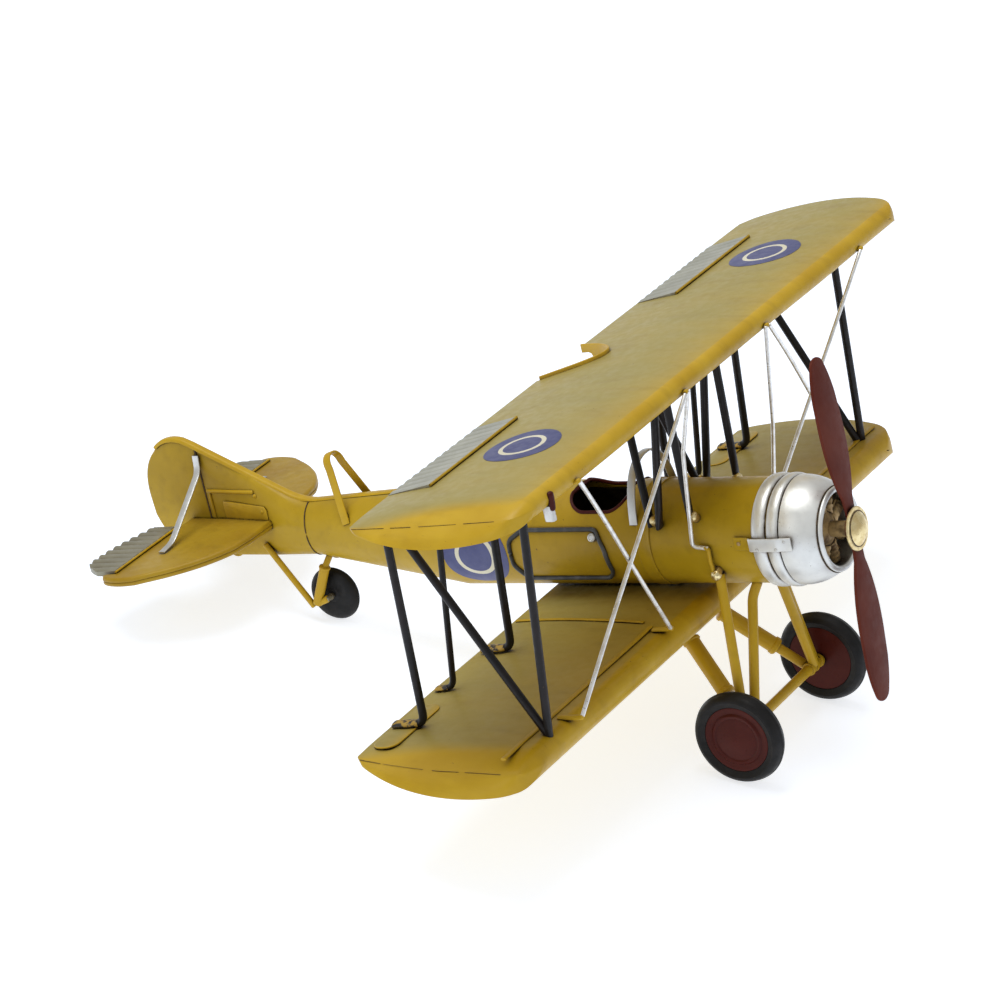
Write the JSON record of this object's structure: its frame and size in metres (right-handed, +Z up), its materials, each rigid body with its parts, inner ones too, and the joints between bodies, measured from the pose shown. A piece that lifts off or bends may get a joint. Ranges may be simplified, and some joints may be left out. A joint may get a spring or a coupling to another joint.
{
  "type": "biplane display model",
  "caption": "Tin-plate biplane display model with staggered wings, round cowl, turning propeller and free-rolling wheels.",
  "frame": {"origin": "middle of the model's bounding box, on the surface it stands on", "axes": "+X towards the propeller, +Y to port, +Z up"},
  "size_m": [0.3298, 0.327, 0.1583],
  "materials": {
    "yellow_enamel": "satin, washed with brown",
    "silver_paint": "satin, grimy in the grooves",
    "bright_wire": "satin",
    "maroon_enamel": "gloss",
    "brass": "aged, satin",
    "dark_enamel": "satin",
    "bronze_paint": "dull, mottled",
    "rubber": "matt"
  },
  "bodies": {
    "airframe": {"fuselage": "yellow_enamel", "fuselage_band": "yellow_enamel", "spine_strip": "yellow_enamel", "tail_block": "yellow_enamel", "rudder": "yellow_enamel", "fin_strips": "yellow_enamel", "cockpit_rim": "maroon_enamel", "windscreen_arch": "silver_paint", "rear_hoop": "yellow_enamel", "lever_bracket": "silver_paint", "lever_paddle": "maroon_enamel", "door_frame": "dark_enamel", "door_knob": "silver_paint", "cowl_rear_ring": "silver_paint", "cowl_middle_ring": "silver_paint", "cowl_bowl": "silver_paint", "cowl_lip": "silver_paint", "cowl_straps": "silver_paint", "engine_crankcase": "bronze_paint", "engine_cylinders": "bronze_paint", "propeller_shaft": "bronze_paint", "top_wing": "yellow_enamel", "cutout_trim": "yellow_enamel", "aileron_left": "silver_paint", "aileron_right": "silver_paint", "lower_wing": "yellow_enamel", "lower_wing_strips": "yellow_enamel", "tip_patches": "yellow_enamel", "front_strut_left": "dark_enamel", "front_strut_right": "dark_enamel", "diagonal_strut_left": "dark_enamel", "diagonal_strut_right": "dark_enamel", "rear_strut_left": "dark_enamel", "rear_strut_right": "dark_enamel", "inner_struts": "dark_enamel", "aileron_links": "dark_enamel", "cabane_struts": "dark_enamel", "brass_bolts": "brass", "wire_tabs": "yellow_enamel", "landing_wires": "bright_wire", "flying_wires": "bright_wire", "fuselage_wires": "bright_wire", "tailplane": "yellow_enamel", "elevators": "silver_paint", "tail_braces": "silver_paint", "gear_struts": "yellow_enamel", "wheel_axle": "yellow_enamel", "shock_tubes": "yellow_enamel", "shock_pistons": "yellow_enamel", "tail_leg": "yellow_enamel", "tail_brace_rod": "yellow_enamel", "belly_loops": "dark_enamel"},
    "propeller": {"propeller_blades": "maroon_enamel", "propeller_hub": "brass"},
    "wheel_left": {"tyre_left": "rubber", "wheel_disc_left": "maroon_enamel"},
    "wheel_right": {"tyre_right": "rubber", "wheel_disc_right": "maroon_enamel"},
    "tail_wheel": {"tail_tyre": "rubber"}
  },
  "joints": [
    {"name": "propeller_spin", "type": "hinge", "parent": "airframe", "child": "propeller", "pos_m": [0.1468, 0, 0.0959], "axis": [0.9677, 0, 0.2521], "continuous": true},
    {"name": "wheel_left_spin", "type": "hinge", "parent": "airframe", "child": "wheel_left", "pos_m": [0.11877, 0.0358, 0.01823], "axis": [0, 1, 0], "continuous": true},
    {"name": "wheel_right_spin", "type": "hinge", "parent": "airframe", "child": "wheel_right", "pos_m": [0.11877, -0.0358, 0.01823], "axis": [0, 1, 0], "continuous": true},
    {"name": "tail_wheel_spin", "type": "hinge", "parent": "airframe", "child": "tail_wheel", "pos_m": [-0.07767, 0, 0.01108], "axis": [0, 1, 0], "continuous": true}
  ]
}
